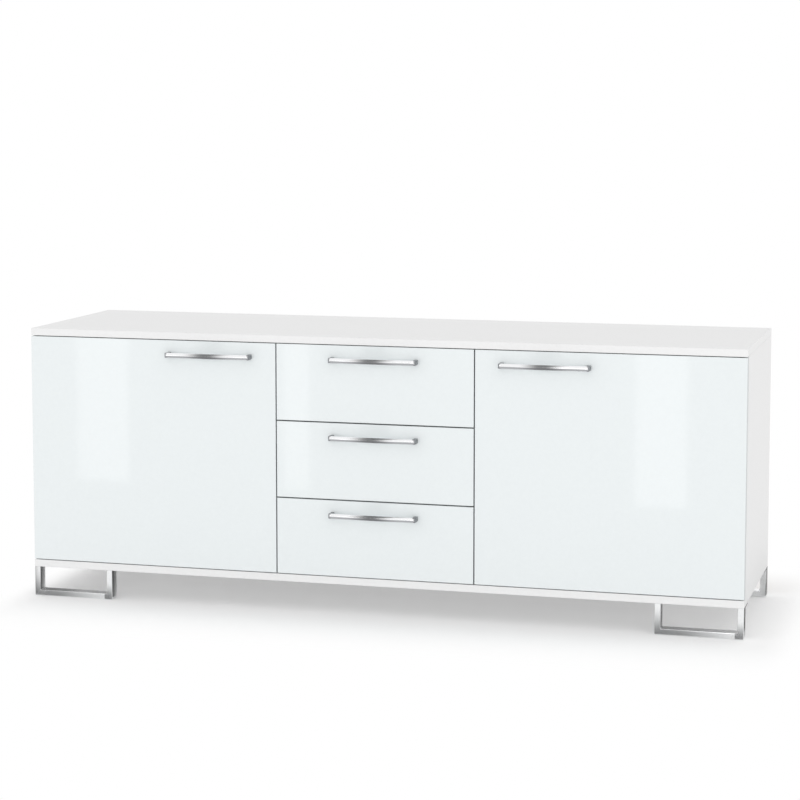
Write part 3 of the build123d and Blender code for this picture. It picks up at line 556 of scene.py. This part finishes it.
# %% [markdown]
# At each place along the bar, the section is stretched from the inner edge to the outer one, and over the
# height of the bar. It is almost square on the legs and has soft bevels on the bow. The bow spreads the
# reflection along the handle and the bevels spread it over the height, so both are worked out finely
# enough to curve without facets. Each handle takes the place of its plainer node in the construction.

# %% Bow handles
HANDLE_BODIES = ("left_door", "right_door", "top_drawer", "middle_drawer", "bottom_drawer")
HANDLE_END_REACH = 23.5 * MM
HANDLE_BAR = 7.0 * MM
HANDLE_LEG = 9.0 * MM
HANDLE_BEVEL_DEEP = 2.6 * MM
HANDLE_BEVEL_HIGH = 5.3 * MM
OUTER_CORNER = 2.6 * MM
INNER_CORNER = 1.2 * MM
BACK_ROUND = 1.0 * MM
LEG_ROUND = 0.8 * MM


def bow_handle(node):
    """Rings between the inner and the outer plan edge: middle + across * half width + up * half height.

    The section is almost square on the legs and bevelled on the bow: square + its share of the bow *
    (bevelled - square).
    """
    low, high = (np.array(corner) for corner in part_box(node))
    half = (high[0] - low[0]) / 2
    reach = high[1] - low[1]
    half_height = (high[2] - low[2]) / 2
    sag = reach - HANDLE_END_REACH
    outer = plan_edge(half, HANDLE_END_REACH, sag, OUTER_CORNER)
    inner = plan_edge(half - HANDLE_LEG, HANDLE_END_REACH - HANDLE_BAR, sag, INNER_CORNER)
    half_bar = HANDLE_BAR / 2
    back = (BACK_ROUND / half_bar, BACK_ROUND / half_height)
    square = bevelled_section((LEG_ROUND / half_bar, LEG_ROUND / half_height), back)
    bevelled = bevelled_section((HANDLE_BEVEL_DEEP / half_bar, HANDLE_BEVEL_HIGH / half_height), back)
    bow_share = bow_share_along()
    section = square + bow_share[:, None, None] * (bevelled - square)
    middle, across = (outer + inner) / 2, (outer - inner) / 2
    plan = middle[:, None, :] + across[:, None, :] * section[..., :1]
    up = section[..., 1] * half_height
    centre = (low + high) / 2
    place = [centre[0] + plan[..., 0], high[1] - plan[..., 1], centre[2] + up]
    piece = carried_surface(node + "_bow", np.stack(place, axis=-1))
    shares = np.concatenate([np.repeat(bow_share, len(square)), np.zeros(2)])
    piece.data.attributes.new("bow_share", "FLOAT", "POINT").data.foreach_set("value", shares)
    return piece


for body in HANDLE_BODIES:
    node = body + "_handle"
    piece = bow_handle(node)
    piece.data.materials.append(handle_finish)
    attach(piece, body)
    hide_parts(node)
    print(piece.name, len(piece.data.vertices), "points")

# %% [markdown]
# The studio is white all round. The world lights everything evenly, and looks plain white to the
# camera, in reflections and through clear pieces.

# %% White world
WORLD_LIGHT = 0.94

world = bpy.data.worlds.new("white_studio")
bpy.context.scene.world = world
world.use_nodes = True


def seen_directly(tree):
    """1 for rays from the camera, from a reflection or through a clear piece, and 0 for other light."""
    path = add(tree, "LightPath")
    seen = path.outputs["Is Camera Ray"]
    for ray in ("Is Glossy Ray", "Is Transmission Ray"):
        seen = add(tree, "Math", {0: seen, 1: path.outputs[ray]}, operation="MAXIMUM").outputs["Value"]
    return seen


tree = world.node_tree
tree.nodes.clear()
level = add(tree, "MapRange", {"Value": seen_directly(tree), "To Min": WORLD_LIGHT, "To Max": 1.0})
white = add(tree, "Background", {"Color": linear("#FFFFFF"), "Strength": level.outputs["Result"]})
add(tree, "OutputWorld", {"Surface": white.outputs["Background"]})
print("world light:", WORLD_LIGHT)

# %% [markdown]
# The studio is built from flat sheets, and one small function makes them all. The floor is the first of them
# and the largest.


# %% Flat sheets for the studio
def flat_sheet(name, half_x, half_y):
    """A rectangle round its own origin, for the studio."""
    corners = np.array([(-1, -1), (1, -1), (1, 1), (-1, 1)]) * (half_x, half_y)
    mesh = bpy.data.meshes.new(name)
    mesh.from_pydata(np.pad(corners, ((0, 0), (0, 1))).tolist(), [], [(0, 1, 2, 3)])
    sheet = bpy.data.objects.new(name, mesh)
    bpy.context.scene.collection.objects.link(sheet)
    return sheet


FLOOR_HALF = 9.0
FLOOR_DROP = 0.2 * MM
floor = flat_sheet("studio_floor", FLOOR_HALF, FLOOR_HALF)
floor.location.z = -FLOOR_DROP
print("floor:", 2 * FLOOR_HALF, "m wide")

# %% [markdown]
# The floor is white paper. It keeps the soft shadow of the sideboard and melts into plain white further out,
# sooner at the two ends than in front. The shadow underneath is lifted a little for the camera, as light
# from a larger room would lift it. From below the paper is clear, so that the underside shows.

# %% Paper of the floor
FADE_REACH = 0.33
FADE_SIDEWAYS = 3.0
FADE_SHIFT = 32 * MM
UNDER_GLOW = 0.33
GLOW_FROM, GLOW_TO = -0.2, 0.15


def floor_paper():
    """White paper that turns to plain white away from the sideboard's footprint, sooner at its sides."""
    finish, tree = empty_finish("paper_sheet_white")
    place = add(tree, "TexCoord")
    footprint = (CAD_BOX[1].x, CAD_BOX[1].y, 0)
    shift = {0: place.outputs["Object"], 1: (FADE_SHIFT, 0, 0)}
    shifted = add(tree, "VectorMath", shift, operation="SUBTRACT")
    across = add(tree, "VectorMath", {0: shifted.outputs["Vector"]}, operation="ABSOLUTE")
    beyond = add(tree, "VectorMath", {0: across.outputs["Vector"], 1: footprint}, operation="SUBTRACT")
    outside = add(tree, "VectorMath", {0: beyond.outputs["Vector"], 1: (0, 0, 0)}, operation="MAXIMUM")
    pull = {0: outside.outputs["Vector"], 1: (FADE_SIDEWAYS, 1, 1)}
    pulled = add(tree, "VectorMath", pull, operation="MULTIPLY")
    distance = add(tree, "VectorMath", {0: pulled.outputs["Vector"]}, operation="LENGTH")
    reach = {"Value": distance.outputs["Value"], "From Max": FADE_REACH}
    fade = add(tree, "MapRange", reach, interpolation_type="SMOOTHSTEP")
    far = add(tree, "Math", {0: fade.outputs["Result"], 1: seen_directly(tree)}, operation="MULTIPLY")
    sides = add(tree, "SeparateXYZ", {"Vector": beyond.outputs["Vector"]})
    depth = add(tree, "Math", {0: sides.outputs["X"], 1: sides.outputs["Y"]}, operation="MAXIMUM")
    inside = {"Value": depth.outputs["Value"], "From Min": GLOW_FROM, "From Max": GLOW_TO}
    glow = add(tree, "MapRange", {**inside, "To Min": UNDER_GLOW, "To Max": 0.0})
    camera_ray = add(tree, "LightPath").outputs["Is Camera Ray"]
    under = add(tree, "Math", {0: glow.outputs["Result"], 1: camera_ray}, operation="MULTIPLY")
    share = add(tree, "Math", {0: far.outputs["Value"], 1: under.outputs["Value"]}, operation="MAXIMUM")
    paper = add(tree, "BsdfDiffuse", {"Color": linear("#FFFFFF")})
    plain = add(tree, "Emission", {"Color": linear("#FFFFFF")})
    layers = {"Fac": share.outputs["Value"], 1: paper.outputs["BSDF"], 2: plain.outputs["Emission"]}
    above = add(tree, "MixShader", layers)
    below = add(tree, "BsdfTransparent")
    back = add(tree, "NewGeometry").outputs["Backfacing"]
    both = {"Fac": back, 1: above.outputs["Shader"], 2: below.outputs["BSDF"]}
    sheet = add(tree, "MixShader", both)
    add(tree, "OutputMaterial", {"Surface": sheet.outputs["Shader"]})
    return finish


floor.data.materials.append(floor_paper())
print("floor is plain white from", FADE_REACH, "m out")

# %% [markdown]
# Gloss and chrome have no look of their own: they show the room. In an all-white room they would look
# like plain white paint, so a photographer hangs dark cloths, called flags, and stands narrow lit boxes
# out of the picture. Each one here is a soft-edged sheet that only reflections see, and only from its
# working side. It has a name, a colour and a glow: a flag glows as much as its cloth is bright in the
# white room, and a lit box a little more.

# %% Sheets that reflections see
FLAG = ("velvet_flag_woven_black", "#2B2C2E", 1.0)
GREY_FLAG = ("felt_flag_pressed_grey", "#B5B6B8", 1.0)
SOFTBOX = ("nylon_softbox_sewn_white", "#FFFFFF", 1.55)
QUARTER_TURN = math.pi / 2
LYING = (0, 0, 0)
FACING_BACK = (-QUARTER_TURN, 0, 0)
FACING_FORWARDS = (QUARTER_TURN, 0, 0)
FACING_RIGHT = (0, QUARTER_TURN, 0)
FACING_LEFT = (0, -QUARTER_TURN, 0)


def sheet_cloth(kind, cover, core):
    """A sheet that thins out from a core to its rim, each way: the product of two smooth steps."""
    name, colour, glow = kind
    finish, tree = empty_finish(name)
    place = add(tree, "TexCoord")
    size = add(tree, "VectorMath", {0: place.outputs["Object"]}, operation="ABSOLUTE")
    parts = add(tree, "SeparateXYZ", {"Vector": size.outputs["Vector"]})
    back = add(tree, "NewGeometry").outputs["Backfacing"]
    share = add(tree, "MapRange", {"Value": back, "To Min": cover, "To Max": 0.0}).outputs["Result"]
    for axis, middle in zip("XY", core):
        span = {"Value": parts.outputs[axis], "From Min": 1.0, "From Max": middle, "To Max": share}
        share = add(tree, "MapRange", span, interpolation_type="SMOOTHSTEP").outputs["Result"]
    cloth = add(tree, "Emission", {"Color": linear(colour), "Strength": glow})
    gap = add(tree, "BsdfTransparent")
    mixed = add(tree, "MixShader", {"Fac": share, 1: gap.outputs["BSDF"], 2: cloth.outputs["Emission"]})
    add(tree, "OutputMaterial", {"Surface": mixed.outputs["Shader"]})
    return finish


def hang_sheet(name, middle, half_size, turn, cover, core, kind=FLAG):
    """A sheet round a middle, turned about x, y and z from lying flat with its working side up."""
    sheet = flat_sheet(name, 1, 1)
    sheet.location = middle
    sheet.scale = (*half_size, 1)
    sheet.rotation_euler = turn
    sheet.visible_camera = False
    sheet.visible_diffuse = False
    sheet.visible_transmission = False
    sheet.visible_shadow = False
    sheet.data.materials.append(sheet_cloth(kind, cover, core))


print("kinds of sheet:", FLAG[0], GREY_FLAG[0], SOFTBOX[0])

# %% [markdown]
# A point of a face mirrors the place that a line from the camera reaches after it bounces off the face, so
# a sheet is hung on that line. A sheet that only the handles should mirror lies along the line that the
# front mirrors, and the front sees no more of it than its edge.

# %% Lines that the faces mirror
FRONT_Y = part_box("left_door_panel")[0].y


def bounce(point, tilt=0):
    """Direction of the line from the camera to a point after it bounces off a face that looks forwards.

    The face is tilted upwards by an angle in degrees. The line turns to run - 2 * (run . normal) * normal.
    """
    run = np.array(point) - np.array(CAMERA_PLACE)
    normal = np.array([0, -math.cos(math.radians(tilt)), math.sin(math.radians(tilt))])
    return run - 2 * run.dot(normal) * normal


def lying_along_mirror(point, faces_down):
    """Angles that turn a sheet at a point edge-on to the camera's image in the fronts.

    That image lies as far behind the fronts as the camera stands before them. A sheet along the line
    from the image to the point takes up no room in the reflection that the fronts show.
    """
    image = np.array([CAMERA_PLACE[0], 2 * FRONT_Y - CAMERA_PLACE[1], CAMERA_PLACE[2]])
    line = np.array(point) - image
    fall = math.asin(-line[2] / np.linalg.norm(line))
    aside = math.atan2(line[0], -line[1])
    return (-fall, math.pi, aside) if faces_down else (fall, 0, aside)


print("the camera's image lies", round(FRONT_Y - CAMERA_PLACE[1], 3), "m behind the fronts")

# %% [markdown]
# Each handle gets flags that give it a dark middle and a grey lower edge. A narrow one hangs above it for
# the upper bevel, a narrow one below it for the lower bevel, and a wide one further below for the whole
# lower edge. All lie along the lines that the front mirrors, so the front sees them edge-on. A small
# upright one close to the handle serves its flat face, and leaves a faint patch on the front around it.
# The look of a flag is how much it covers, how far its core reaches each way, and its cloth.

# %% Flags for the handles
HANDLE_FLAGS = {
    "upper": {"tilt": 20, "height": 0.08, "half": (0.07, 0.16), "look": (0.8, (0.1, 0.85), FLAG)},
    "under": {"tilt": -14, "height": -0.08, "half": (0.07, 0.25), "look": (0.6, (0.1, 0.85), FLAG)},
    "low": {"tilt": -18, "height": -0.15, "half": (0.19, 0.20), "look": (1.0, (0.7, 0.75), GREY_FLAG)},
}
NEAR_OUT, NEAR_RISE, NEAR_HALF = 0.10, 0.008, (0.06, 0.036)
NEAR_DARKNESS, NEAR_CORE = 0.8, (0.1, 0.5)
for body in HANDLE_BODIES:
    low, high = (np.array(corner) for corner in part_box(body + "_handle"))
    centre = (low + high) / 2
    for name, flag in HANDLE_FLAGS.items():
        way = bounce(centre, flag["tilt"])
        middle = centre + way * flag["height"] / way[2]
        turn = lying_along_mirror(middle, flag["height"] > 0)
        hang_sheet(f"{name}_flag_{body}", middle, flag["half"], turn, *flag["look"])
    way = bounce(centre)
    near = centre - way * NEAR_OUT / way[1] + (0, 0, NEAR_RISE)
    hang_sheet("near_flag_" + body, near, NEAR_HALF, FACING_BACK, NEAR_DARKNESS, NEAR_CORE)
print("each handle has", len(HANDLE_FLAGS), "flags along the mirrored lines and one upright flag")

# %% [markdown]
# A gloss front reads as gloss when it mirrors something with an edge. Three narrow lit boxes stand well
# in front of the sideboard, one for each bay, and every bay shows a faint bright band.

# %% Lit boxes for the gloss
BOX_OUT, BOX_HIGH = 1.6, 0.9
BOX_COVER, BOX_CORE = 1.0, (0.75, 0.97)
BANDS = {"left_door": (-0.708, 0.078), "drawers": (-0.198, 0.037), "right_door": (0.70, 0.07)}
FRONT_Z = (CAD_BOX[0].z + CAD_BOX[1].z) / 2
for bay, (x, half) in BANDS.items():
    seen_at = np.array([x, FRONT_Y, FRONT_Z])
    way = bounce(seen_at)
    stand = seen_at - way * BOX_OUT / way[1]
    wider = 1 + BOX_OUT / (FRONT_Y - CAMERA_PLACE[1])
    size = (half * wider, BOX_HIGH / 2)
    middle = (stand[0], stand[1], BOX_HIGH / 2)
    hang_sheet("softbox_" + bay, middle, size, FACING_BACK, BOX_COVER, BOX_CORE, SOFTBOX)
print("lit boxes stand", BOX_OUT, "m in front of the fronts")

# %% [markdown]
# The feet get low upright flags close by: a wide one at the left post of a foot and a narrow one at its
# right post. They thin out upwards, so that the posts darken towards the floor, and the wide one thins
# out sideways, so that the bar between the posts darkens from right to left. At the front the narrow one
# stands on the line that the post mirrors.

# %% Flags for the posts of the feet
POST_OUT = 8 * MM
LEFT_POST_HALF, LEFT_POST_DARKNESS, LEFT_POST_CORE = (0.20, 0.07), 0.68, (0.15, 0.0)
RIGHT_POST_HALF, RIGHT_POST_DARKNESS, RIGHT_POST_CORE = (0.012, 0.045), 0.66, (0.8, 0.1)
RIGHT_POST_IN, RIGHT_POST_OUT = 10 * MM, 5 * MM
for foot in ("front_left", "front_right", "rear_left", "rear_right"):
    low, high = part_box(foot + "_foot")
    post_x = high.x - RIGHT_POST_IN
    if foot.startswith("front"):
        start, outwards, turn = low.y, -1, FACING_BACK
        lean = (post_x - CAMERA_PLACE[0]) / (low.y - CAMERA_PLACE[1])
    else:
        start, outwards, turn = high.y, 1, FACING_FORWARDS
        lean = 0
    left = (low.x, start + outwards * POST_OUT, 0)
    right = (post_x + lean * RIGHT_POST_OUT, start + outwards * RIGHT_POST_OUT, 0)
    hang_sheet(f"flag_{foot}_left_post", left, LEFT_POST_HALF, turn, LEFT_POST_DARKNESS, LEFT_POST_CORE)
    hang_sheet(f"flag_{foot}_right_post", right, RIGHT_POST_HALF, turn, RIGHT_POST_DARKNESS, RIGHT_POST_CORE)
print("the flags for the posts stand", POST_OUT, "m from the feet")

# %% [markdown]
# The sides of the posts get small upright flags too. Each stands where the front edge of a side mirrors it,
# and thins out both ways, so that the side goes from dark in front to pale behind.

# %% Flags for the sides of the posts
FOOT_BAR = 15 * MM
FACE_OUT, FACE_RISE, FACE_HALF = 12 * MM, 36 * MM, (0.045, 0.03)
FACE_CORE, FACE_DARKNESS = (0.9, 0.0), 0.85
for foot in ("front_left", "front_right"):
    low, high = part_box(foot + "_foot")
    for post, face_x in (("left", low.x + FOOT_BAR), ("right", high.x)):
        backwards = (low.y - CAMERA_PLACE[1]) / (CAMERA_PLACE[0] - face_x)
        beside = (face_x + FACE_OUT, low.y + FACE_OUT * backwards, FACE_RISE)
        hang_sheet(f"flag_{foot}_{post}_face", beside, FACE_HALF, FACING_LEFT, FACE_DARKNESS, FACE_CORE)
print("the flags for the sides of the posts stand", FACE_OUT, "m from them")

# %% [markdown]
# A flag lies on the floor beside each end of the sideboard, for the outer sides of the feet, and an upright
# one under the left end darkens the top of the bar there.

# %% Flags beside and under the ends
SIDE_OUT, SIDE_RISE = 60 * MM, 4 * MM
SIDE_HALF, SIDE_CORE, SIDE_DARKNESS = (0.09, 0.55), (0.4, 0.7), 0.8
UNDER_HALF, UNDER_CORE = (0.045, 0.27), (0.9, 0.7)
for side, x in (("left", CAD_BOX[0].x - SIDE_OUT), ("right", CAD_BOX[1].x + SIDE_OUT)):
    beside = (x, SIDE_HALF[1] / 2, SIDE_RISE)
    hang_sheet(f"flag_{side}_side", beside, SIDE_HALF, LYING, SIDE_DARKNESS, SIDE_CORE)
under = (CAD_BOX[0].x, CAD_BOX[1].y - UNDER_HALF[1], UNDER_HALF[0])
hang_sheet("flag_under_left_end", under, UNDER_HALF, FACING_RIGHT, SIDE_DARKNESS, UNDER_CORE)
print("the flags beside the ends lie", SIDE_OUT, "m out")

# %% [markdown]
# One large soft lamp stands in front, not much higher than the sideboard, and gives the faces that look
# forwards slightly more light than the top. A weaker lamp beside the sideboard lifts the right side.

# %% Soft lamps
LAMPS = {
    "soft_key": {"place": (0.8, -9.0, 1.9), "aim": (0, 0, 0.3), "size": 4.0, "power": 109},
    "side_fill": {"place": (6.0, 0.3, 1.2), "aim": (0.9, 0, 0.35), "size": 3.0, "power": 12},
}
for name, lamp in LAMPS.items():
    light = bpy.data.lights.new(name, "AREA")
    light.size = lamp["size"]
    light.energy = lamp["power"]
    stand = bpy.data.objects.new(name, light)
    stand.location = lamp["place"]
    aim = np.array(lamp["aim"]) - np.array(lamp["place"])
    stand.rotation_euler.x = math.acos(-aim[2] / np.linalg.norm(aim))
    stand.rotation_euler.z = math.atan2(aim[1], aim[0]) - QUARTER_TURN
    bpy.context.scene.collection.objects.link(stand)
    print(name, lamp["power"], "W at", lamp["place"])
